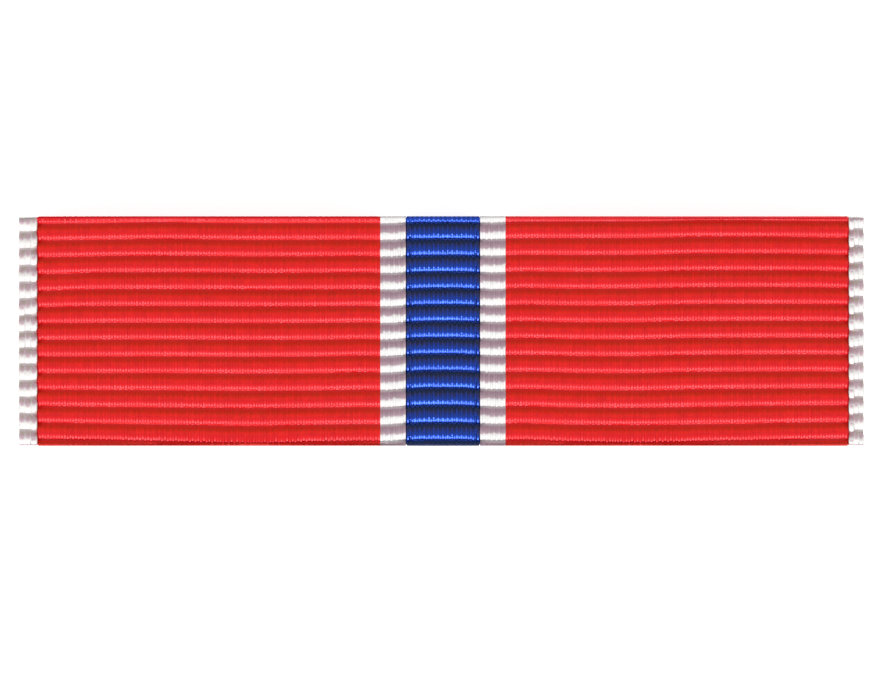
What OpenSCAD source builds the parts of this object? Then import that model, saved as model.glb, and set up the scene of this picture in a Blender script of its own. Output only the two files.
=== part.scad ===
// Ribbon bar: a ribbed ribbon folded over a brass channel, with a brooch pin in the channel's back.
// X runs along the bar, Y up its front and Z out of its front. The bar lies on its brass lips at z = 0.

/* [Ribbon] */
// Width of the ribbon, from selvedge to selvedge
ribbon_w = 34.9; // [24:0.1:60]
// Height of the front, over the ribbon's two folded edges
front_h = 9.5; // [8.5:0.1:14]
// Thickness of the cloth through the crest of a rib
cloth_t = 1.0; // [0.8:0.05:1.4]
// Distance from one woven rib to the next
rib_pitch = 0.694; // [0.55:0.01:1]
// Height of a rib's crest over the cloth's web
rib_rise = 0.28; // [0.15:0.01:0.35]
// How far the nearest rib lies below the middle of the front
rib_offset = 0.07; // [-0.3:0.01:0.3]
// Radius of the web where the ribbon folds over the front's edges
fold_r = 0.15; // [0.1:0.01:0.3]
// Radius of the narrow rib that each fold leaves along the front's edge
edge_rib_r = 0.2; // [0.12:0.01:0.28]
// Drop from the other ribs' crests to the edge ribs' crests
edge_rib_drop = 0.08; // [0.02:0.01:0.15]
// Drop from an edge rib to the side's first rib, where the front's ribs are centred
side_rib_drop = 0.57; // [0.45:0.01:0.7]
// Height of the ribbon's trimmed ends over the rest plane
trim_z = 0.1; // [0.05:0.01:0.3]

/* [Stripes] */
// Width of the white stripe along the left selvedge
left_edge_w = 0.72; // [0.3:0.01:2]
// Width of the white stripe along the right selvedge
right_edge_w = 0.59; // [0.3:0.01:2]
// Width of each white stripe beside the blue one
inner_white_w = 1.05; // [0.3:0.01:3]
// Width of the blue stripe in the middle
blue_w = 3.08; // [1:0.01:8]

/* [Backing plate] */
// Thickness of the brass sheet
sheet_t = 0.4; // [0.3:0.05:0.6]
// Inner radius of the sheet's four bends
bend_r = 0.15; // [0.1:0.05:0.4]
// Depth of the channel, from the lips' backs to its floor
channel_d = 1.7; // [1.6:0.05:2.6]
// Reach of each lip from the channel's side wall
lip_w = 1.3; // [0.8:0.05:1.6]
// Distance that the sheet stops short of each selvedge
end_inset = 0.25; // [0.1:0.05:1]
// Clearance between neighbouring pieces
seat_gap = 0.1; // [0.05:0.01:0.15]

/* [Pin] */
// Diameter of the pin's wire
wire_d = 0.8; // [0.5:0.05:0.9]
// Height of the pin's lowest point over the rest plane
pin_lift = 0.1; // [0.05:0.01:0.2]
// Distance from the plate's ends to the middle of each foot
foot_inset = 4; // [2:0.5:8]
// Length of each foot along the bar
foot_l = 2.2; // [1.5:0.1:4]
// Width of each foot across the bar
foot_w = 1.6; // [1.2:0.1:1.7]
// Thickness of each foot's base
foot_t = 0.25; // [0.15:0.05:0.35]
// Wall of the pivot knuckle and of the catch around the wire
knuckle_wall = 0.12; // [0.05:0.01:0.14]
// Length of the wire's tip past the catch
tip_l = 2.4; // [1:0.1:3]
// Radius of the blunted point
point_r = 0.08; // [0.04:0.01:0.2]

/* [Hidden] */
$fn = 48;

// The brass channel
plate_w = ribbon_w - 2 * end_inset;
plate_h = front_h - 2 * (cloth_t + seat_gap);
plate_top = channel_d + sheet_t;
outer_bend_r = bend_r + sheet_t;

// The ribbon's web, which is its cloth without the ribs
total_t = plate_top + seat_gap + cloth_t;
web_top = total_t - rib_rise;
web_half = front_h / 2 - rib_rise;

// Half a rib's round, as a share of the pitch, is over a half, so that neighbours meet above the web
rib_half_share = 0.52;
rib_half = rib_half_share * rib_pitch;
rib_r = (rib_rise * rib_rise + rib_half * rib_half) / (2 * rib_rise);
rib_sink = rib_r - rib_rise;
rib_reach = front_h / 2 - rib_r;
front_count = ceil(front_h / 2 / rib_pitch) + 1;
side_count = ceil(total_t / rib_pitch);
edge_rib_z = total_t - edge_rib_drop - edge_rib_r;

// Stripes from left to right: the two red bands share what the others leave. The selvedges are
// woven half a rib out of step with the rest, and the shift is a share of the pitch.
red_w = (ribbon_w - left_edge_w - right_edge_w - 2 * inner_white_w - blue_w) / 2;
STRIPE_W = 0;
STRIPE_COLOR = 1;
STRIPE_SHIFT = 2;
stripes = [
    [left_edge_w, "white", 0.5],
    [red_w, "crimson", 0],
    [inner_white_w, "white", 0],
    [blue_w, "mediumblue", 0],
    [inner_white_w, "white", 0],
    [red_w, "crimson", 0],
    [right_edge_w, "white", 0.5],
];
function stripe_start(i) = i == 0 ? -ribbon_w / 2 : stripe_start(i - 1) + stripes[i - 1][STRIPE_W];

// The pin
wire_r = wire_d / 2;
knuckle_r = wire_r + knuckle_wall;
wire_z = pin_lift + knuckle_r;
foot_x = plate_w / 2 - foot_inset;
foot_top = channel_d - seat_gap;

// A rectangle with round corners, standing on z = bottom and centred on y = 0
module rounded_outline(half, bottom, top, r) {
    translate([-half, bottom + r]) square([2 * half, top - bottom - 2 * r]);
    translate([-half + r, bottom]) square([2 * (half - r), top - bottom]);
    for (side = [-1, 1], z = [bottom + r, top - r])
        translate([side * (half - r), z]) circle(r);
}

// Stands a Y-Z outline up and runs it along X from x = start
module along_bar(start, length) {
    translate([start, 0, 0]) rotate([90, 0, 90]) linear_extrude(length) children();
}

// The ribs of the front, each a weft cord under its warp threads, bulging out of the web.
// The outermost one is pressed against the fold.
module front_ribs(shift) {
    for (k = [-front_count:front_count]) {
        y = (k + shift) * rib_pitch - rib_offset;
        if (abs(y) < web_half)
            translate([max(-rib_reach, min(rib_reach, y)), web_top - rib_sink]) circle(rib_r);
    }
}

// The narrow rib along one edge of the front and the ribs down that side
module side_ribs(side, shift) {
    translate([side * (front_h / 2 - edge_rib_r), edge_rib_z]) circle(edge_rib_r);
    for (k = [0:side_count]) {
        z = edge_rib_z - side_rib_drop + side * rib_offset - (k - shift) * rib_pitch;
        translate([side * (web_half - rib_sink), z]) circle(rib_r);
    }
}

// The ribbon's cross-section: its front, two folds and two sides down to the trimmed ends
module ribbon_outline(shift) {
    difference() {
        union() {
            rounded_outline(web_half, trim_z - 2 * fold_r, web_top, fold_r);
            front_ribs(shift);
            side_ribs(1, shift);
            side_ribs(-1, shift);
        }
        rounded_outline(plate_h / 2 + seat_gap, -seat_gap, plate_top + seat_gap, outer_bend_r + seat_gap);
        translate([-front_h, trim_z - front_h]) square([2 * front_h, front_h]);
    }
}

// One woven cloth: every stripe is a band of coloured warp threads on the same ribs
module ribbon() {
    for (i = [0:len(stripes) - 1])
        color(stripes[i][STRIPE_COLOR]) along_bar(stripe_start(i), stripes[i][STRIPE_W])
            ribbon_outline(stripes[i][STRIPE_SHIFT]);
}

// One brass sheet folded to a channel, whose two lips are what the bar lies on
module backing_plate() {
    lip_edge = plate_h / 2 - sheet_t - lip_w;
    color("goldenrod") along_bar(-plate_w / 2, plate_w) difference() {
        rounded_outline(plate_h / 2, 0, plate_top, outer_bend_r);
        rounded_outline(plate_h / 2 - sheet_t, sheet_t, channel_d, bend_r);
        translate([-lip_edge, -sheet_t]) square([2 * lip_edge, 3 * sheet_t]);
    }
}

// A foot's flat base and the web that stands between it and the wire
module pin_foot(web_l) {
    translate([-foot_l / 2, -foot_w / 2, foot_top - foot_t]) cube([foot_l, foot_w, foot_t]);
    translate([-web_l / 2, -wire_r, wire_z]) cube([web_l, wire_d, foot_top - wire_z]);
}

// One plain piece: the wire, its knuckle on the left foot and its catch on the right one
module pin() {
    catch_l = foot_l / 2;
    color("silver") {
        translate([-foot_x, 0, 0]) {
            pin_foot(wire_d);
            translate([0, wire_r, wire_z]) rotate([90, 0, 0]) cylinder(h = wire_d, r = knuckle_r);
        }
        translate([foot_x, 0, 0]) {
            pin_foot(catch_l);
            translate([-catch_l / 2, 0, wire_z]) rotate([0, 90, 0]) cylinder(h = catch_l, r = knuckle_r);
            translate([0, 0, wire_z]) rotate([0, 90, 0]) cylinder(h = tip_l, r1 = wire_r, r2 = point_r);
        }
        translate([-foot_x, 0, wire_z]) rotate([0, 90, 0]) cylinder(h = 2 * foot_x, r = wire_r);
    }
}

ribbon();
backing_plate();
pin();
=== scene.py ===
# A ribbon bar lying on its back, seen straight from its front: a ribbed ribbon folded over a brass channel.
import math
from collections import namedtuple

import bmesh
import bpy
import numpy as np
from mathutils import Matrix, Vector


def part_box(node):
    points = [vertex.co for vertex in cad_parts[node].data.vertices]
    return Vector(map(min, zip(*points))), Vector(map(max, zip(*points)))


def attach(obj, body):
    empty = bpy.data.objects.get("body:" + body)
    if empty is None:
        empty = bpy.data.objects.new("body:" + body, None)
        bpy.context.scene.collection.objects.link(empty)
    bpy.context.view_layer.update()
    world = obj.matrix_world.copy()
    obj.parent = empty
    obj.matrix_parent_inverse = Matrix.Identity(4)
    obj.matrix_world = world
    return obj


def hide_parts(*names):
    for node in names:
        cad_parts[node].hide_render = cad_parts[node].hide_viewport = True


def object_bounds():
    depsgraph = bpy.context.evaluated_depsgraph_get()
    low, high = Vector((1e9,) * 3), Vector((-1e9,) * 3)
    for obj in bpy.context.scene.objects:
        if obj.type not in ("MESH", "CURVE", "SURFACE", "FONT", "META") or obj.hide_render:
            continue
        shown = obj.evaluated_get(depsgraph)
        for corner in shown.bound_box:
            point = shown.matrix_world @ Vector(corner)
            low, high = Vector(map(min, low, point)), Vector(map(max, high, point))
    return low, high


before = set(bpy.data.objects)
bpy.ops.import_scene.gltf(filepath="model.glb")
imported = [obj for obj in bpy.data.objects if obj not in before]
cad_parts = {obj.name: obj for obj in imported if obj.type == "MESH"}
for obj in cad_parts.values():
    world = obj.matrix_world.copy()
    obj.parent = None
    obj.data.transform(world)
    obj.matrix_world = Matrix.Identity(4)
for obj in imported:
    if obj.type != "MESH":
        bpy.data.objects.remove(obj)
cad_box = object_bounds()

# Studio
# The bar lies on a pale table that is lit through from below, so it throws no shadow. The camera hangs
# straight above on a long lens, as the photograph looks straight at the bar's front, and a low window
# beyond the lower edge picks out the ribs.
MM = 0.001
# The photograph's width, and the bar's width and place in it, in pixels
PHOTO_W = 881
BAR_W_IN_PHOTO = 844.5
BAR_RIGHT_OF_MIDDLE = 0.75
BAR_ABOVE_MIDDLE = 14.43
bar_low, bar_high = cad_box
bar_w = bar_high.x - bar_low.x
bar_h = bar_high.y - bar_low.y
bar_t = bar_high.z
pixel = bar_w / BAR_W_IN_PHOTO

camera_data = bpy.data.cameras.new("camera")
camera_distance = 0.6
camera_data.lens = camera_data.sensor_width * camera_distance / (PHOTO_W * pixel)
camera = bpy.data.objects.new("camera", camera_data)
bpy.context.collection.objects.link(camera)
camera.location = (
    -BAR_RIGHT_OF_MIDDLE * pixel,
    -BAR_ABOVE_MIDDLE * pixel,
    bar_t + camera_distance,
)
bpy.context.scene.camera = camera
bpy.context.scene.view_settings.view_transform = "Standard"

table_size = 1.6
table_mesh = bpy.data.meshes.new("table")
table_mesh.from_pydata(
    [(x * table_size / 2, y * table_size / 2, 0) for x, y in ((-1, -1), (1, -1), (1, 1), (-1, 1))],
    [],
    [(0, 1, 2, 3)],
)
table = bpy.data.objects.new("table", table_mesh)
bpy.context.collection.objects.link(table)
table_paint = bpy.data.materials.new("table_paint")
table_paint.use_nodes = True
table_shader = table_paint.node_tree.nodes["Principled BSDF"]
table_shader.inputs["Base Color"].default_value = (0.93, 0.93, 0.93, 1)
table_shader.inputs["Roughness"].default_value = 0.9
table_shader.inputs["Specular IOR Level"].default_value = 0.1
table_shader.inputs["Emission Color"].default_value = (1, 1, 1, 1)
table_shader.inputs["Emission Strength"].default_value = 0.6
table_mesh.materials.append(table_paint)

world = bpy.data.worlds.new("studio")
world.use_nodes = True
world.node_tree.nodes["Background"].inputs["Color"].default_value = (1, 1, 1, 1)
world.node_tree.nodes["Background"].inputs["Strength"].default_value = 0.70
bpy.context.scene.world = world

window_data = bpy.data.lights.new("low_window", "AREA")
window_data.shape = "RECTANGLE"
window_data.size = 0.9
window_data.size_y = 0.16
window_data.energy = 8.5
window = bpy.data.objects.new("low_window", window_data)
bpy.context.collection.objects.link(window)
window_distance = 1.0
window_elevation = math.radians(27)
window.location = (
    0,
    -window_distance * math.cos(window_elevation),
    window_distance * math.sin(window_elevation),
)
window.rotation_euler = (math.pi / 2 - window_elevation, 0, 0)
window.visible_camera = False

# Ribbon
# One narrow cloth, woven flat, then folded over the plate, glued down and snipped off level with the
# plate's back. Its fine warp runs up and down the bar, over thick weft cords that make the ribs.
rib_pitch = 0.694 * MM
rib_rise = 0.28 * MM
rib_offset = 0.09 * MM
# Half of a rib's round, as a share of the pitch. It is over a half, so that neighbours meet in a groove.
rib_half_share = 0.52
rib_r = (rib_rise**2 + (rib_half_share * rib_pitch) ** 2) / (2 * rib_rise)
fold_r = 0.05 * MM
fold_press = 0.76
fold_press_reach = 0.08 * MM
snip_tuck = 0.15 * MM
snip_tuck_reach = 0.20 * MM
snip_depth = 0.28 * MM
snip_waves = ((0.020 * MM, 5200, 0), (0.012 * MM, 13100, 1))
trim_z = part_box("ribbon")[0][2]
front_run = bar_h / 2 - fold_r
fold_run = math.pi / 2 * fold_r
side_run = bar_t - fold_r - trim_z
half_cut = front_run + fold_run + side_run

# The ribs aren't quite straight. At shares of the bar's width from the left, this is how many millimetres
# they drift up the bar near its bottom edge, a third and two thirds of the way up, and near its top edge.
SHARE, BOTTOM, LOWER, UPPER, TOP = range(5)
rib_chart = np.array([
    [0.00, 0.095, 0.045, -0.055, -0.045],
    [0.10, 0.032, 0.042, 0.040, -0.005],
    [0.17, -0.012, 0.052, 0.037, 0.035],
    [0.24, -0.062, 0.032, 0.030, 0.000],
    [0.28, -0.076, 0.024, 0.012, -0.005],
    [0.36, -0.022, 0.044, 0.022, 0.000],
    [0.41, 0.002, 0.084, 0.047, 0.010],
    [0.44, -0.010, 0.049, 0.002, -0.020],
    [0.47, 0.090, 0.180, 0.096, 0.058],
    [0.53, 0.090, 0.180, 0.104, 0.062],
    [0.56, -0.002, 0.074, 0.032, 0.000],
    [0.59, 0.048, 0.114, 0.100, 0.065],
    [0.66, -0.026, 0.054, 0.062, 0.068],
    [0.73, -0.056, 0.044, 0.072, 0.074],
    [0.80, -0.016, 0.097, 0.120, 0.124],
    [0.87, 0.018, 0.117, 0.130, 0.125],
    [0.94, 0.080, 0.127, 0.115, 0.100],
    [1.00, 0.090, 0.100, 0.070, 0.085],
]) * [1, MM, MM, MM, MM]
# The heights of those four places, as shares of half the bar's height from its middle
chart_heights = np.array([-0.93, -0.35, 0.38, 0.90])
chart_nudges = (-0.012, 0, 0.012)


def rib_drift(x, s):
    """How far up the bar the ribs have drifted, at x along the bar and s along the ribbon. The chart is
    blurred a little, as yarn doesn't kink."""
    share = x / bar_w + 0.5
    up = s / (bar_h / 2)
    drift = np.zeros_like(x)
    for column, weights in zip((BOTTOM, LOWER, UPPER, TOP), np.eye(4)):
        here = sum(
            np.interp(share + nudge, rib_chart[:, SHARE], rib_chart[:, column])
            for nudge in chart_nudges
        )
        drift += here / len(chart_nudges) * np.interp(up, chart_heights, weights)
    return drift


def snipped_end(x):
    """Where the scissors cut the ribbon, along a line that waves a little."""
    end = half_cut
    for depth, waves, start in snip_waves:
        end = end + depth * np.sin(x * waves + start)
    return end


def tucked(x, s, height):
    """Ends the cloth at its snips, and tucks it in a little there."""
    end = snipped_end(x)
    s = np.clip(s, -end, end)
    return s, height - snip_tuck * np.exp(-(((end - np.abs(s)) / snip_tuck_reach) ** 2))


def folded(x, s, height):
    """Takes points of the flat cloth, x along the bar, s along the ribbon's length and height above the
    crests, to their places round the bar. What reaches past a snip is turned down over the cut. The folds
    are pressed, so the ribs are lower there."""
    s = s + rib_drift(x, s)
    past = np.abs(s) - snipped_end(x)
    height = np.where(past > 0, np.maximum(height - past, -snip_depth), height)
    s, height = tucked(x, s, height)
    run = np.abs(s)
    height = height * (1 - fold_press * np.exp(-(((run - front_run) / fold_press_reach) ** 2)))
    turn = np.clip((run - front_run) / fold_r, 0, math.pi / 2)
    down = np.maximum(run - front_run - fold_run, 0)
    y = np.sign(s) * (np.minimum(run, front_run) + (fold_r + height) * np.sin(turn))
    z = bar_t - fold_r + (fold_r + height) * np.cos(turn) - down
    return np.stack([x, y, z], axis=1)


# Ribbon stripes
# Bands of dyed warp in the one cloth, listed from the left. A stripe's ribs may lie a share of the pitch
# higher than the others' and climb to the right, and a slit may part its threads from its neighbour's.
Stripe = namedtuple("Stripe", "name width dye thread up climb slit_l slit_r stagger jitter")
selvedge_l = 0.73 * MM
selvedge_r = 0.59 * MM
white_w = 1.05 * MM
blue_w = 3.08 * MM
red_w = (bar_w - selvedge_l - selvedge_r - 2 * white_w - blue_w) / 2
red_slit = 0.07 * MM
blue_slit = 0.05 * MM
red_look = {"dye": "red", "thread": 0.115 * MM, "stagger": 0.010 * MM, "jitter": 0.010 * MM}
white_look = {"dye": "white", "thread": 0.105 * MM, "stagger": 0.012 * MM, "jitter": 0.014 * MM}
blue_look = {"dye": "blue", "thread": 0.0965 * MM, "stagger": 0.045 * MM, "jitter": 0.014 * MM}
selvedge_look = {"dye": "selvedge", "stagger": 0.015 * MM, "jitter": 0.040 * MM}
level = {"up": 0.0, "climb": 0.0}
joined = {"slit_l": 0.0, "slit_r": 0.0}
stripes = [
    Stripe("selvedge_left", selvedge_l, **selvedge_look, thread=0.235 * MM, up=0.58, climb=0.0, **joined),
    Stripe("red_left", red_w, **red_look, **level, slit_l=red_slit, slit_r=0.0),
    Stripe("white_left", white_w, **white_look, **level, **joined),
    Stripe("blue", blue_w, **blue_look, **level, slit_l=blue_slit, slit_r=blue_slit),
    Stripe("white_right", white_w, **white_look, **level, **joined),
    Stripe("red_right", red_w, **red_look, **level, slit_l=0.0, slit_r=red_slit),
    Stripe("selvedge_right", selvedge_r, **selvedge_look, thread=0.195 * MM, up=0.56, climb=0.25, **joined),
]

# Dyed silk
# Bright filament yarn, dyed before it was woven and twisted a little. It is glossy on each rib's lower
# side, and dull on the side that faces up. That upper side's colour is painted shade, darker where the
# low window's light falls away (for red, painted lighter to even out the real shading), carried by the
# same share that dulls it as dust would. Its upper fold is painted lighter, a painted light, and the
# lower one is painted darker, a painted shade, and dulled as by grime.
glaze_roughness = 0.3
groove_reach = 0.12
float_side = (0.1, 0.5)
side_thinning = 3.5
spot_share = 0.06
# Where along the float the painted shade deepens to a greyer colour, near the groove, and how much of that
# deepening is kept at the groove's very bottom.
groove_shade_from = 0.66
groove_shade_to = 0.80
groove_shade_at_bottom = 0.1
front_edge = (bar_t - 0.55 * MM, bar_t - 0.30 * MM)
upper_fold = (bar_h / 2 - 0.12 * MM, bar_h / 2 - 0.04 * MM)
lower_fold = (0.115 * MM - bar_h / 2, -0.02 * MM - bar_h / 2)
tone_shades = (0.95, 1.03)
# How much darker the lower fold is painted, a painted shade, and how much lighter the upper fold, a painted
# light.
lower_fold_painted_shade = 0.30
upper_fold_painted_light = 1.12
dusty_roughness = 0.8
yarn_turn = 0.15

# Along a thread's float, 0 is the rib's lower foot, 0.5 its crest and 1 the groove above it. Dust and
# painted shade set in at the dye's first given place and are full at its second: the lower, lit side
# keeps the clean colour, and the upper side, which faces away from the low window, takes the dusty
# colour, a painted shade (for red a painted lighter colour). That line wanders from float to float, and
# side_draw draws it back at a float's sides. High on the upper side the colour turns greyer, in streaks,
# a deeper painted shade towards the groove.
dyes = {
    "red": {
        "clean": (0.74, 0.002, 0.003, 1),
        "dusty_shade_side": (0.925, 0.0165, 0.0050, 1),
        "greyed_groove_shade": (0.745, 0.028, 0.003, 1),
        "metallic": 0.0,
        "gloss": 0.78,
        "roughness": 0.40,
        "gloss_tint": (1.0, 0.47, 0.55, 1),
        "glaze": 0.0,
        "dust_and_shade_from": 0.51,
        "dust_and_shade_to": 0.74,
        "wander": 0.04,
        "side_draw": 0.0,
        "groove_dust_and_shade": 0.5,
        "groove_shade_least": 0.6,
    },
    "white": {
        "clean": (0.83, 0.82, 0.81, 1),
        "dusty_shade_side": (0.51, 0.36, 0.42, 1),
        "greyed_groove_shade": (0.51, 0.335, 0.41, 1),
        "metallic": 0.0,
        "gloss": 0.3,
        "roughness": 0.5,
        "gloss_tint": (1, 1, 1, 1),
        "glaze": 0.0,
        "dust_and_shade_from": 0.47,
        "dust_and_shade_to": 0.63,
        "wander": 0.06,
        "side_draw": 0.0,
        "groove_dust_and_shade": 0.5,
        "groove_shade_least": 0.3,
    },
    "selvedge": {
        "clean": (0.83, 0.81, 0.79, 1),
        "dusty_shade_side": (0.64, 0.45, 0.51, 1),
        "greyed_groove_shade": (0.54, 0.44, 0.38, 1),
        "metallic": 0.0,
        "gloss": 0.3,
        "roughness": 0.5,
        "gloss_tint": (1, 1, 1, 1),
        "glaze": 0.0,
        "dust_and_shade_from": 0.50,
        "dust_and_shade_to": 0.72,
        "wander": 0.14,
        "side_draw": 0.16,
        "groove_dust_and_shade": 0.3,
        "groove_shade_least": 0.0,
    },
    "blue": {
        "clean": (0.008, 0.055, 0.44, 1),
        "dusty_shade_side": (0.0200, 0.021, 0.075, 1),
        "greyed_groove_shade": (0.0020, 0.0250, 0.105, 1),
        "metallic": 1.0,
        "gloss": 0.1,
        "roughness": 0.36,
        "gloss_tint": (1, 1, 1, 1),
        "glaze": 0.5,
        "dust_and_shade_from": 0.46,
        "dust_and_shade_to": 0.84,
        "wander": 0.08,
        "side_draw": 0.0,
        "groove_dust_and_shade": 0.1,
        "groove_shade_least": 0.6,
    },
}


class Net:
    """A node tree, with short calls that add a node and feed its inputs with values or other nodes."""

    def __init__(self, tree):
        self.nodes = tree.nodes
        self.links = tree.links

    def feed(self, socket, value):
        if isinstance(value, bpy.types.NodeSocket):
            self.links.new(value, socket)
        else:
            socket.default_value = value

    def add(self, kind, feeds=(), **settings):
        node = self.nodes.new(kind)
        for name, value in settings.items():
            setattr(node, name, value)
        for key, value in dict(feeds).items():
            self.feed(node.inputs[key], value)
        return node.outputs

    def math(self, operation, *values):
        return self.add("ShaderNodeMath", enumerate(values), operation=operation)[0]

    def split(self, vector):
        return self.add("ShaderNodeSeparateXYZ", {0: vector})

    def ramp(self, value, low, high, start=0.0, end=1.0):
        ends = {"Value": value, "From Min": low, "From Max": high, "To Min": start, "To Max": end}
        return self.add("ShaderNodeMapRange", ends, interpolation_type="SMOOTHSTEP")["Result"]

    def blotches(self, vector, scale, detail=1.0, low=0.35, high=0.65):
        noise = self.add("ShaderNodeTexNoise", {"Vector": vector, "Scale": scale, "Detail": detail})
        return self.ramp(noise["Fac"], low, high)

    def blend(self, share, one, other):
        return self.add("ShaderNodeMix", {"Factor": share, "A": one, "B": other}, data_type="RGBA")["Result"]

    def shaded(self, colour, strength):
        return self.add("ShaderNodeVectorMath", {0: colour, "Scale": strength}, operation="SCALE")[0]

    def stretched(self, vector, scale, turn=0.0):
        return self.add("ShaderNodeMapping", {"Vector": vector, "Scale": scale, "Rotation": (0, 0, turn)})[0]


def finish(name):
    """A new material, with its net and its shader's inputs."""
    material = bpy.data.materials.new(name)
    material.use_nodes = True
    return material, Net(material.node_tree), material.node_tree.nodes["Principled BSDF"].inputs


def fold_wear_light_and_shade(net, place):
    """Where the upper fold is painted lighter, a painted light, and where the lower one is painted darker, a
    painted shade that is dulled as by grime.
    """
    up_the_bar, out = net.split(place)[1:]
    near_front = net.ramp(out, *front_edge)
    brightened = net.math("MULTIPLY", near_front, net.ramp(up_the_bar, *upper_fold))
    grime_and_shade = net.math("MULTIPLY", near_front, net.ramp(up_the_bar, *lower_fold))
    return brightened, grime_and_shade


def painted_shade_and_dust(net, dye, place, tone, across, along):
    """How much dust and painted shade lie on a float, and how far into the groove the place lies. Near the
    groove the share is drawn to the dye's groove share: painted light on the upper side's foot, painted
    shade on the lower side's foot.
    """
    to_side = net.ramp(net.math("ABSOLUTE", net.math("SUBTRACT", across, 0.5)), *float_side)
    reached = net.math("MULTIPLY_ADD", tone, dye["wander"], along)
    reached = net.math("MULTIPLY_ADD", net.blotches(place, 2600, 2), spot_share, reached)
    reached = net.math("MULTIPLY_ADD", to_side, -dye["side_draw"], reached)
    shade_and_dust_share = net.ramp(reached, dye["dust_and_shade_from"], dye["dust_and_shade_to"])
    thinner = net.ramp(to_side, 0, 1, 1, 1 - side_thinning * dye["side_draw"])
    shade_and_dust_share = net.math("MULTIPLY", shade_and_dust_share, thinner)
    from_crest = net.math("ABSOLUTE", net.math("SUBTRACT", along, 0.5))
    from_crest = net.math("MULTIPLY_ADD", to_side, dye["side_draw"] / 2, from_crest)
    groove = net.ramp(from_crest, 0.5 - groove_reach, 0.5)
    shade_and_dust_share = net.math("MULTIPLY_ADD", groove, net.math("SUBTRACT", dye["groove_dust_and_shade"], shade_and_dust_share), shade_and_dust_share)
    return shade_and_dust_share, groove


def silk(name, dye):
    material, net, shader = finish(name)
    shader["Specular IOR Level"].default_value = dye["gloss"]
    shader["Specular Tint"].default_value = dye["gloss_tint"]
    shader["Coat Weight"].default_value = dye["glaze"]
    shader["Coat Roughness"].default_value = glaze_roughness
    place = net.add("ShaderNodeTexCoord")["Object"]
    thread = net.add("ShaderNodeUVMap", uv_map="thread")["UV"]
    tone = net.add("ShaderNodeAttribute", attribute_name="float_tone")["Fac"]
    across, along = net.split(thread)[:2]
    brightened, grime_and_shade = fold_wear_light_and_shade(net, place)
    shade_and_dust_share, groove = painted_shade_and_dust(net, dye, place, tone, across, along)
    # Dust and painted shade: full on each rib's upper side, cleared on the upper fold, where light is
    # painted, and full on the lower fold, where shade is painted.
    dust_and_shade = net.math("MAXIMUM", net.math("SUBTRACT", shade_and_dust_share, brightened), grime_and_shade)
    streaks = net.blotches(net.stretched(place, (5000, 250, 250)), 1)
    streaked = net.ramp(streaks, 0, 1, dye["groove_shade_least"], 1)
    # Painted shade: a greyer colour, in streaks, high on the upper side, eased again at the groove's bottom.
    greyed_groove_shade = net.math("MULTIPLY", net.ramp(along, groove_shade_from, groove_shade_to), streaked)
    greyed_groove_shade = net.math("MULTIPLY", greyed_groove_shade, net.ramp(groove, 0, 1, 1, groove_shade_at_bottom))
    colour = net.blend(dust_and_shade, dye["clean"], net.blend(greyed_groove_shade, dye["dusty_shade_side"], dye["greyed_groove_shade"]))
    # The shade is a random tone per float, times the painted shade on the lower fold and the painted light
    # on the upper fold.
    shade = net.math("MULTIPLY", net.ramp(tone, 0, 1, *tone_shades), net.ramp(grime_and_shade, 0, 1, 1, lower_fold_painted_shade))
    shade = net.math("MULTIPLY", shade, net.ramp(brightened, 0, 1, 1, upper_fold_painted_light))
    net.feed(shader["Base Color"], net.shaded(colour, shade))
    dull = net.ramp(dust_and_shade, 0, 1, dye["roughness"], dusty_roughness)
    handled = net.ramp(net.blotches(place, 700, 2), 0, 1, -0.03, 0.05)
    net.feed(shader["Roughness"], net.math("ADD", dull, handled))
    if dye["metallic"]:
        net.feed(shader["Metallic"], net.ramp(dust_and_shade, 0, 1, dye["metallic"], 0))
    twisted = net.stretched(thread, (1, 1, 1), yarn_turn)
    filaments = net.add("ShaderNodeTexWave", {"Vector": twisted, "Scale": 1.6, "Distortion": 1.5})["Fac"]
    relief = net.add("ShaderNodeBump", {"Strength": 0.2, "Distance": 0.002 * MM, "Height": filaments})
    net.feed(shader["Normal"], relief["Normal"])
    return material


silks = {name: silk(f"silk_{name}", dye) for name, dye in dyes.items()}

# Warp floats
# A thread shows where it floats over a rib: a slim grain that dives into the groove at both ends,
# beside the ends of the next rib's grains. One grain is modelled for a stripe, and the weave repeats it.
float_reach = math.radians(80)
float_flatness = 0.12
float_overlap = 1.20
least_rib = 0.08 * MM
tone_seed = 50
# The rings along a grain, each a share of its reach and of its full width, and the angles round a ring
float_rings = ((-0.84, 0.62), (-0.48, 0.96), (0.0, 1.0), (0.48, 0.96), (0.84, 0.62))
float_section = (0, 50, 130, 180, 270)


def closed_tube(mesh, rings, tips):
    """Skins rings of vertices and closes both ends with a fan round a tip."""
    sides = len(rings[0])
    for a, b in zip(rings, rings[1:]):
        for i in range(sides):
            j = (i + 1) % sides
            mesh.faces.new((a[i], a[j], b[j], b[i]))
    for i in range(sides):
        j = (i + 1) % sides
        mesh.faces.new((tips[0], rings[0][j], rings[0][i]))
        mesh.faces.new((tips[1], rings[-1][i], rings[-1][j]))
    bmesh.ops.recalc_face_normals(mesh, faces=mesh.faces)


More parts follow.
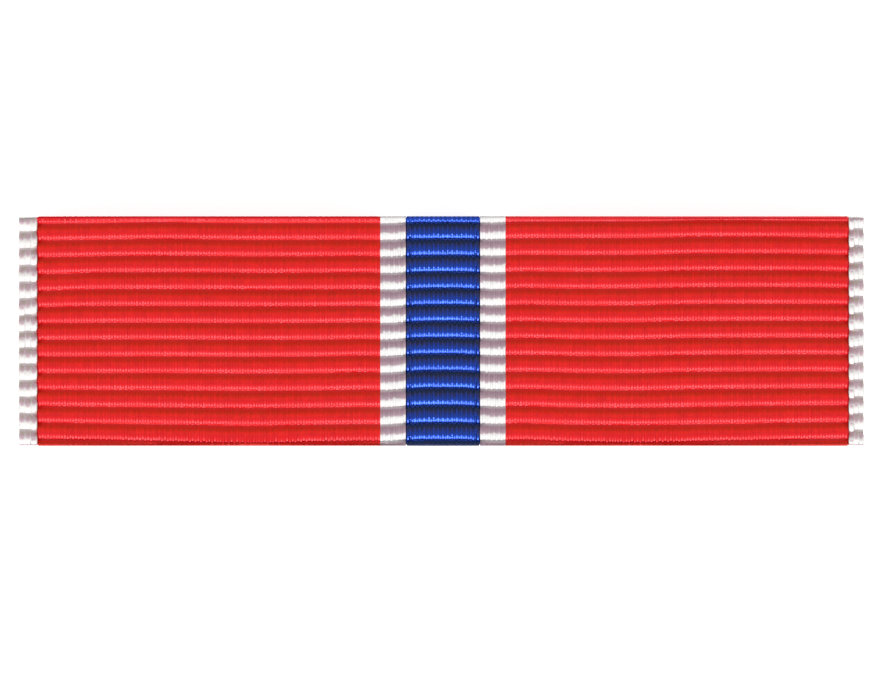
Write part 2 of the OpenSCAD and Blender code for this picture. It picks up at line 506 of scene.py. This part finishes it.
def float_grain(name, width):
    """One float, bent over a rib, with its crest at the origin."""
    mesh = bmesh.new()
    uv = mesh.loops.layers.uv.new("thread")
    half_thick = float_flatness * width
    centre_r = rib_r - half_thick

    def place(share, bulge, angle):
        turn = share * float_reach
        out = centre_r + half_thick * bulge * math.sin(math.radians(angle))
        side = width / 2 * bulge * math.cos(math.radians(angle))
        return (side, out * math.sin(turn), out * math.cos(turn) - rib_r)

    rings = [[mesh.verts.new(place(t, b, a)) for a in float_section] for t, b in float_rings]
    closed_tube(mesh, rings, [mesh.verts.new(place(t, 0, 0)) for t in (-1, 1)])
    for face in mesh.faces:
        for loop in face.loops:
            x, y, _ = loop.vert.co
            loop[uv].uv = (x / width + 0.5, y / rib_pitch + 0.5)
    data = bpy.data.meshes.new(name)
    mesh.to_mesh(data)
    mesh.free()
    return bpy.data.objects.new(name, data)


def weave_tree():
    """Geometry Nodes that lay one grain on every crossing of a grid of threads and ribs."""
    tree = bpy.data.node_groups.new("weave", "GeometryNodeTree")
    wanted = {
        "Geometry": "Geometry",
        "Grain": "Object",
        "Threads": "Int",
        "Ribs": "Int",
        "Thread Pitch": "Float",
        "Rib Pitch": "Float",
        "Middle": "Vector",
        "Climb": "Float",
        "Stagger": "Float",
        "Jitter": "Float",
        "Seed": "Int",
        "Material": "Material",
    }
    for name, kind in wanted.items():
        tree.interface.new_socket(name, in_out="INPUT", socket_type=f"NodeSocket{kind}")
    tree.interface.new_socket("Geometry", in_out="OUTPUT", socket_type="NodeSocketGeometry")
    net = Net(tree)
    given = net.add("NodeGroupInput")

    def length(count, pitch):
        return net.math("MULTIPLY", net.math("SUBTRACT", count, 1), pitch)

    def chance(seed, low, high):
        spread = {2: low, 3: high, "Seed": seed}
        return net.add("FunctionNodeRandomValue", spread, data_type="FLOAT")[1]

    grid = net.add("GeometryNodeMeshGrid", {
        "Vertices X": given["Threads"],
        "Vertices Y": given["Ribs"],
        "Size X": length(given["Threads"], given["Thread Pitch"]),
        "Size Y": length(given["Ribs"], given["Rib Pitch"]),
    })["Mesh"]
    thread = net.math("FLOOR", net.math("DIVIDE", net.add("GeometryNodeInputIndex")[0], given["Ribs"]))
    up_or_down = net.math("MULTIPLY", net.math("SUBTRACT", net.math("MODULO", thread, 2), 0.5), 2)
    climb = net.math("MULTIPLY", net.math("MULTIPLY", thread, given["Thread Pitch"]), given["Climb"])
    stagger = net.math("MULTIPLY", up_or_down, given["Stagger"])
    wander = net.math("MULTIPLY", chance(given["Seed"], -1, 1), given["Jitter"])
    shift = net.add("ShaderNodeCombineXYZ", {"Y": net.math("ADD", net.math("ADD", climb, stagger), wander)})
    offset = net.add("ShaderNodeVectorMath", {0: given["Middle"], 1: shift[0]})[0]
    laid = net.add("GeometryNodeSetPosition", {"Geometry": grid, "Offset": offset})[0]
    tone = chance(net.math("ADD", given["Seed"], tone_seed), 0, 1)
    toned = net.add(
        "GeometryNodeStoreNamedAttribute",
        {"Geometry": laid, "Name": "float_tone", "Value": tone},
        data_type="FLOAT",
        domain="POINT",
    )[0]
    grain = net.add("GeometryNodeObjectInfo", {"Object": given["Grain"]})["Geometry"]
    placed = net.add("GeometryNodeInstanceOnPoints", {"Points": toned, "Instance": grain})[0]
    real = net.add("GeometryNodeRealizeInstances", {0: placed})[0]
    smooth = net.add("GeometryNodeSetShadeSmooth", {"Geometry": real})[0]
    painted = net.add("GeometryNodeSetMaterial", {"Geometry": smooth, "Material": given["Material"]})[0]
    net.add("NodeGroupOutput", {"Geometry": painted})
    return tree


weave = weave_tree()


def fold_mesh(mesh, fold):
    """Moves a flat mesh round the bar."""
    flat = np.empty(3 * len(mesh.vertices))
    mesh.vertices.foreach_get("co", flat)
    mesh.vertices.foreach_set("co", fold(*flat.reshape(-1, 3).T).ravel())
    mesh.update()


def woven(name, grain, fold, **settings):
    """A field of grains, woven flat and then folded round the bar, as a plain mesh in its place."""
    holder = bpy.data.objects.new(f"{name}_loom", bpy.data.meshes.new(f"{name}_loom"))
    bpy.context.collection.objects.link(holder)
    bpy.context.collection.objects.link(grain)
    modifier = holder.modifiers.new("weave", "NODES")
    modifier.node_group = weave
    keys = {item.name: item.identifier for item in weave.interface.items_tree if item.in_out == "INPUT"}
    modifier[keys["Grain"]] = grain
    for label, value in settings.items():
        modifier[keys[label.replace("_", " ")]] = value
    bpy.context.view_layer.update()
    seen = holder.evaluated_get(bpy.context.evaluated_depsgraph_get())
    mesh = bpy.data.meshes.new_from_object(seen)
    bpy.data.objects.remove(holder)
    bpy.data.objects.remove(grain)
    mesh.name = name
    fold_mesh(mesh, fold)
    piece = bpy.data.objects.new(name, mesh)
    bpy.context.collection.objects.link(piece)
    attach(piece, "root")
    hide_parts("ribbon")
    return piece


def rib_range(up):
    """The numbers of the lowest and the highest rib that show between the two snipped ends. A rib of
    which less than least_rib is left isn't woven."""
    reach = half_cut + rib_pitch / 2 - least_rib
    low = math.ceil((-reach + rib_offset) / rib_pitch - up)
    high = math.floor((reach + rib_offset) / rib_pitch - up)
    return low, high


def rib_y(number, up):
    """Where a rib's crest lies up the flat cloth."""
    return (number + up) * rib_pitch - rib_offset


left = -bar_w / 2
for seed, stripe in enumerate(stripes, 1):
    room = stripe.width - stripe.slit_l - stripe.slit_r
    threads = round(room / stripe.thread)
    pitch = room / threads
    low, high = rib_range(stripe.up)
    middle_x = left + (stripe.width + stripe.slit_l - stripe.slit_r) / 2
    middle_y = rib_y((low + high) / 2, stripe.up) - stripe.climb * stripe.width / 2
    woven(
        f"warp_{stripe.name}",
        float_grain(f"{stripe.name}_grain", pitch * float_overlap),
        folded,
        Threads=threads,
        Ribs=high - low + 1,
        Thread_Pitch=pitch,
        Rib_Pitch=rib_pitch,
        Middle=(middle_x, middle_y, 0),
        Climb=stripe.climb,
        Stagger=stripe.stagger,
        Jitter=stripe.jitter,
        Seed=seed,
        Material=silks[stripe.dye],
    )
    left += stripe.width

# Weft turns
# At both selvedges each thick weft cord turns round and goes back through the next rib. Its turn shows
# at the ribbon's ends as a short bulging loop of two twisted plies.
turn_inset = 0.18 * MM
turn_bulge = 0.30 * MM
cord_half_w = 0.25 * MM
cord_half_h = 0.30 * MM
cord_depth = 0.60 * MM
cord_plies = 2
ply_depth = 0.14
ply_twist = 3
# The loops are painted darker inward, towards their buried sides, and in the valleys between the plies: a
# painted shade, carried by the dust share.
turn_dust_and_shade = 0.36
turn_shade_inward = 1.4
turn_jitter = 0.02 * MM
turn_seed = 20
turn_steps = 8
cord_sides = 12
corner_r = 1.0 * MM
corner_squareness = 8
corner_run = 2 * (corner_r - fold_r) + fold_run


def turn_loop(name, side):
    """One turn of the cord, out of one rib and into the next, bulging to a side of the bar."""
    mesh = bmesh.new()
    uv = mesh.loops.layers.uv.new("thread")
    rings = []
    ply_at = {}
    for step in range(turn_steps + 1):
        angle = math.pi * step / turn_steps
        centre_x = -cord_half_w - turn_bulge * (1 - math.sin(angle))
        centre_y = -rib_pitch / 2 * math.cos(angle)
        ahead = np.array([turn_bulge * math.cos(angle), rib_pitch / 2 * math.sin(angle)])
        aside = np.array([ahead[1], -ahead[0]]) / np.linalg.norm(ahead)
        ring = []
        for corner in range(cord_sides):
            around = 2 * math.pi * corner / cord_sides
            swell = 1 + ply_depth * math.cos(cord_plies * around + ply_twist * angle)
            dx, dy = aside * cord_half_w * swell * math.cos(around)
            height = -cord_depth + cord_half_h * swell * math.sin(around)
            ring.append(mesh.verts.new((side * (centre_x + dx), centre_y + dy, height)))
            ply_at[ring[-1]] = swell
        rings.append(ring)
    tips = []
    for ring in (rings[0], rings[-1]):
        middle = sum((v.co for v in ring), ring[0].co * 0) / cord_sides
        tips.append(mesh.verts.new(middle))
    closed_tube(mesh, rings, tips)
    buried = turn_bulge + 2 * cord_half_w
    for face in mesh.faces:
        for loop in face.loops:
            x, _, height = loop.vert.co
            # Painted shade: darker towards the buried side and in the ply valleys.
            dust_and_shade = turn_dust_and_shade + turn_shade_inward * abs(x) / buried + (1 - ply_at.get(loop.vert, 1))
            loop[uv].uv = ((height + cord_depth) / cord_half_h, dust_and_shade)
    data = bpy.data.meshes.new(name)
    mesh.to_mesh(data)
    mesh.free()
    return bpy.data.objects.new(name, data)


def folded_edge(x, s, height):
    """As folded, for what lies deep in the cloth: there the cords fan out round a wider corner."""
    s, height = tucked(x, s + rib_drift(x, s), height)
    run = np.abs(s)
    corner = bar_h / 2 - corner_r
    turn = np.clip((run - corner) / corner_run, 0, 1) * math.pi / 2
    fan = (np.sin(turn) ** corner_squareness + np.cos(turn) ** corner_squareness) ** (-1 / corner_squareness)
    down = np.maximum(run - corner - corner_run, 0)
    y = np.sign(s) * (np.minimum(run, corner) + (corner_r + height) * fan * np.sin(turn))
    z = bar_t - corner_r + (corner_r + height) * fan * np.cos(turn) - down
    return np.stack([x, y, z], axis=1)


# The cord runs to and fro, so the two sides turn at alternate ribs.
for side, stripe, skipped in ((-1, stripes[0], 1), (1, stripes[-1], 0)):
    low, high = rib_range(stripe.up)
    first = low + skipped
    count = (high - first + 1) // 2
    name = f"weft_turns_{'left' if side < 0 else 'right'}"
    woven(
        name,
        turn_loop(f"{name}_loop", side),
        folded_edge,
        Threads=1,
        Ribs=count,
        Thread_Pitch=rib_pitch,
        Rib_Pitch=2 * rib_pitch,
        Middle=(side * bar_w / 2, rib_y(first + count - 0.5, stripe.up), 0),
        Jitter=turn_jitter,
        Seed=turn_seed + side,
        Material=silks["selvedge"],
    )

# Ribbon cloth
# The body of the cloth under the floats: the weft cords and the threads between them, pressed and
# glued round the plate. It is one closed wall, whose cut ends stop just short of the table.
core_sink = 0.035 * MM
fold_sink = 0.035 * MM
fold_sink_reach = 0.12 * MM
groove_depth = 0.155 * MM
slit_depth = 0.14 * MM
slit_end = 0.30 * MM
face_depth = 0.33 * MM
# The inner wall and the end faces take a fixed share of dust and painted shade, so the recessed ends are
# painted darker.
inside_dust_and_shade = 0.56
column_step = 0.35 * MM
steps_per_rib = 8
foot_steps = 6
bend_steps = 9
weld = 0.0005 * MM
plate_low, plate_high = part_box("backing_plate")
plate_gap = 0.1 * MM
plate_bend = 0.65 * MM


def against_plate():
    """The cloth's inner line from its upper cut end over the plate to its lower one, as points (y, z)
    and the place s along the ribbon that lies over each."""
    half = plate_high[1] + plate_gap
    top = plate_high[2] + plate_gap
    low = plate_low[2] - plate_gap + plate_bend
    foot = math.asin((low - trim_z) / plate_bend)
    lower = np.linspace(-foot, 0, foot_steps)
    upper = np.linspace(0, math.pi / 2, bend_steps)
    z = np.concatenate([low + plate_bend * np.sin(lower), top - plate_bend + plate_bend * np.sin(upper)])
    y = half - plate_bend + plate_bend * np.cos(np.concatenate([lower, upper]))
    s = bar_h / 2 - corner_r + corner_run + (bar_t - corner_r - z)
    s[foot_steps:] = np.interp(upper, (0, math.pi / 2), (s[foot_steps], half - plate_bend))
    return np.column_stack([np.append(y, -y[::-1]), np.append(z, z[::-1]), np.append(s, -s[::-1])])


def columns(stripe, left):
    """Where the core is cut across a stripe, and how deep a slit is there."""
    start = max(left + stripe.slit_l, turn_inset - bar_w / 2)
    stop = min(left + stripe.width - stripe.slit_r, bar_w / 2 - turn_inset)
    steps = max(2, round((stop - start) / column_step) + 1)
    cuts = [(x, 0) for x in np.linspace(start, stop, steps)]
    if stripe.slit_l:
        cuts = [(left, slit_depth), (left + stripe.slit_l / 2, slit_depth)] + cuts
    if stripe.slit_r:
        right = left + stripe.width
        cuts += [(right - stripe.slit_r / 2, slit_depth), (right, slit_depth)]
    return cuts


Ring = namedtuple("Ring", "points along stripe")
core_rows = np.linspace(-half_cut, half_cut, round(2 * half_cut / rib_pitch * steps_per_rib))
inner = against_plate()
slit_fade = 1 - np.exp(-(((np.abs(core_rows) - front_run) / slit_end) ** 2))
past_fold = (np.abs(core_rows) - front_run - fold_run / 2) / fold_sink_reach
sink = core_sink + fold_sink * np.exp(-(past_fold**2))


def rib_depth(offset):
    """How far the ribs' surface lies under the crests, at a distance from the nearest crest."""
    offset = np.abs((offset + rib_pitch / 2) % rib_pitch - rib_pitch / 2)
    return rib_r - np.sqrt(rib_r**2 - offset**2)


def core_ring(stripe, x, slit=0, whole=True):
    """The core's outline at x: the whole cloth, or only the face layer that covers the weft turns."""
    across = np.full_like(core_rows, x)
    flat = core_rows - rib_drift(across, core_rows)
    phase = flat + rib_offset - stripe.up * rib_pitch
    height = -np.minimum(rib_depth(phase), groove_depth) - sink - slit * slit_fade
    outer = folded(across, flat, height)
    if whole:
        back = [(x, y, z) for y, z, _ in inner]
    else:
        across = np.full(len(inner), x)
        flat = inner[:, 2] - rib_drift(across, inner[:, 2])
        back = folded_edge(across, flat, np.full(len(inner), -face_depth))
    along = list((phase / rib_pitch + 0.5) % 1) + [inside_dust_and_shade] * len(inner)
    return Ring([tuple(p) for p in outer] + [tuple(p) for p in back], along, stripe)


core_rings = []
left = -bar_w / 2
for stripe in stripes:
    core_rings += [core_ring(stripe, x, slit) for x, slit in columns(stripe, left)]
    left += stripe.width
inset_end = bar_w / 2 - turn_inset
core_rings = [
    core_ring(stripes[0], -bar_w / 2, whole=False),
    core_ring(stripes[0], -inset_end, whole=False),
    *core_rings,
    core_ring(stripes[-1], inset_end, whole=False),
    core_ring(stripes[-1], bar_w / 2, whole=False),
]

# The outlines are skinned to one closed wall, and each face takes its stripe's dye.
cloth_mesh = bpy.data.meshes.new("ribbon_cloth")
core = bmesh.new()
thread_uv = core.loops.layers.uv.new("thread")
dye_order = list(silks)
verts = [[core.verts.new(p) for p in ring.points] for ring in core_rings]
for near, far, ring, next_ring in zip(verts, verts[1:], core_rings, core_rings[1:]):
    for j in range(len(near)):
        k = (j + 1) % len(near)
        face = core.faces.new((near[j], far[j], far[k], near[k]))
        face.material_index = dye_order.index(next_ring.stripe.dye)
        face.smooth = ring.stripe is next_ring.stripe
        start, stop = ring.along[j], ring.along[k]
        if stop < start:
            stop += 1
        for loop, along in zip(face.loops, (start, start, stop, stop)):
            loop[thread_uv].uv = (0.5, along)
for corners, ring in ((verts[0], core_rings[0]), (verts[-1], core_rings[-1])):
    end = core.faces.new(corners)
    end.material_index = dye_order.index(ring.stripe.dye)
    for loop in end.loops:
        loop[thread_uv].uv = (0.5, inside_dust_and_shade)
bmesh.ops.remove_doubles(core, verts=core.verts, dist=weld)
bmesh.ops.recalc_face_normals(core, faces=core.faces)
core.to_mesh(cloth_mesh)
core.free()
for dye in dye_order:
    cloth_mesh.materials.append(silks[dye])
cloth = bpy.data.objects.new("ribbon_cloth", cloth_mesh)
bpy.context.collection.objects.link(cloth)
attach(cloth, "root")
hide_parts("ribbon")

# Backing plate
# Rolled brass sheet, sheared to length and folded to a channel. It has gone brown where it isn't
# handled, and its bends are rubbed bright.
brass_colours = {
    "bright": (0.82, 0.56, 0.24, 1),
    "brown": (0.36, 0.20, 0.075, 1),
    "sheared": (0.60, 0.42, 0.20, 1),
}
bend_rub = (plate_high[1] - 0.30 * MM, plate_high[1] - 0.02 * MM)
lip_rub = (0.06 * MM, 0.01 * MM)
sheared_end = (plate_high[0] - 0.012 * MM, plate_high[0] - 0.004 * MM)


def rolled_brass():
    material, net, shader = finish("rolled_brass")
    shader["Metallic"].default_value = 1
    place = net.add("ShaderNodeTexCoord")["Object"]
    x, y, z = net.split(place)
    rolled = net.blotches(net.stretched(place, (500, 22000, 22000)), 1, 2, 0.25, 0.75)
    stains = net.blotches(place, 380, 4, 0.40, 0.62)
    specks = net.blotches(place, 3200, 2, 0.56, 0.70)
    brightened = net.math("MAXIMUM", net.ramp(net.math("ABSOLUTE", y), *bend_rub), net.ramp(z, *lip_rub))
    brown = net.math("MULTIPLY", net.math("MAXIMUM", stains, specks), net.ramp(brightened, 0, 1, 0.75, 0.15))
    sheet = net.blend(brown, brass_colours["bright"], brass_colours["brown"])
    cut = net.ramp(net.math("ABSOLUTE", x), *sheared_end)
    drag = net.blotches(net.stretched(place, (9000, 26000, 2500)), 1, 2, 0.3, 0.7)
    colour = net.blend(net.math("MULTIPLY", cut, 0.8), sheet, brass_colours["sheared"])
    net.feed(shader["Base Color"], net.shaded(colour, net.ramp(rolled, 0, 1, 0.88, 1.0)))
    roughness = net.math("ADD", net.ramp(rolled, 0, 1, 0.26, 0.38), net.math("MULTIPLY", brown, 0.22))
    net.feed(shader["Roughness"], net.math("ADD", roughness, net.math("MULTIPLY", cut, 0.12)))
    relief = net.math("ADD", rolled, net.math("MULTIPLY", net.math("MULTIPLY", cut, drag), 3))
    bump = net.add("ShaderNodeBump", {"Strength": 0.4, "Distance": 0.004 * MM, "Height": relief})
    net.feed(shader["Normal"], bump["Normal"])
    return material


plate_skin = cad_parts["backing_plate"].data.materials
plate_skin.clear()
plate_skin.append(rolled_brass())

# Pin
# Drawn steel wire with a thin nickel plating, which is worn through in places. Its pivot and its catch
# stand on two feet, which are soldered to the plate's floor.
nickel_colours = {
    "plating": (0.70, 0.67, 0.62, 1),
    "worn": (0.46, 0.41, 0.34, 1),
    "solder": (0.50, 0.49, 0.47, 1),
}
pin_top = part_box("pin")[1][2]
soldered_feet = (pin_top - 0.42 * MM, pin_top - 0.24 * MM)


def plated_wire():
    material, net, shader = finish("plated_wire")
    shader["Metallic"].default_value = 1
    place = net.add("ShaderNodeTexCoord")["Object"]
    drawn = net.blotches(net.stretched(place, (700, 26000, 26000)), 1, 2, 0.25, 0.75)
    worn = net.blotches(place, 900, 3, 0.50, 0.66)
    lumps = net.blotches(place, 5200, 2, 0.3, 0.7)
    soldered = net.ramp(net.split(place)["Z"], *soldered_feet)
    plating = net.blend(net.math("MULTIPLY", worn, 0.7), nickel_colours["plating"], nickel_colours["worn"])
    colour = net.blend(soldered, plating, nickel_colours["solder"])
    net.feed(shader["Base Color"], net.shaded(colour, net.ramp(drawn, 0, 1, 0.9, 1.0)))
    roughness = net.math("ADD", net.ramp(drawn, 0, 1, 0.20, 0.30), net.math("MULTIPLY", worn, 0.15))
    net.feed(shader["Roughness"], net.math("ADD", roughness, net.math("MULTIPLY", soldered, 0.22)))
    relief = net.math("ADD", drawn, net.math("MULTIPLY", net.math("MULTIPLY", soldered, lumps), 6))
    bump = net.add("ShaderNodeBump", {"Strength": 0.4, "Distance": 0.003 * MM, "Height": relief})
    net.feed(shader["Normal"], bump["Normal"])
    return material


pin_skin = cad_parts["pin"].data.materials
pin_skin.clear()
pin_skin.append(plated_wire())
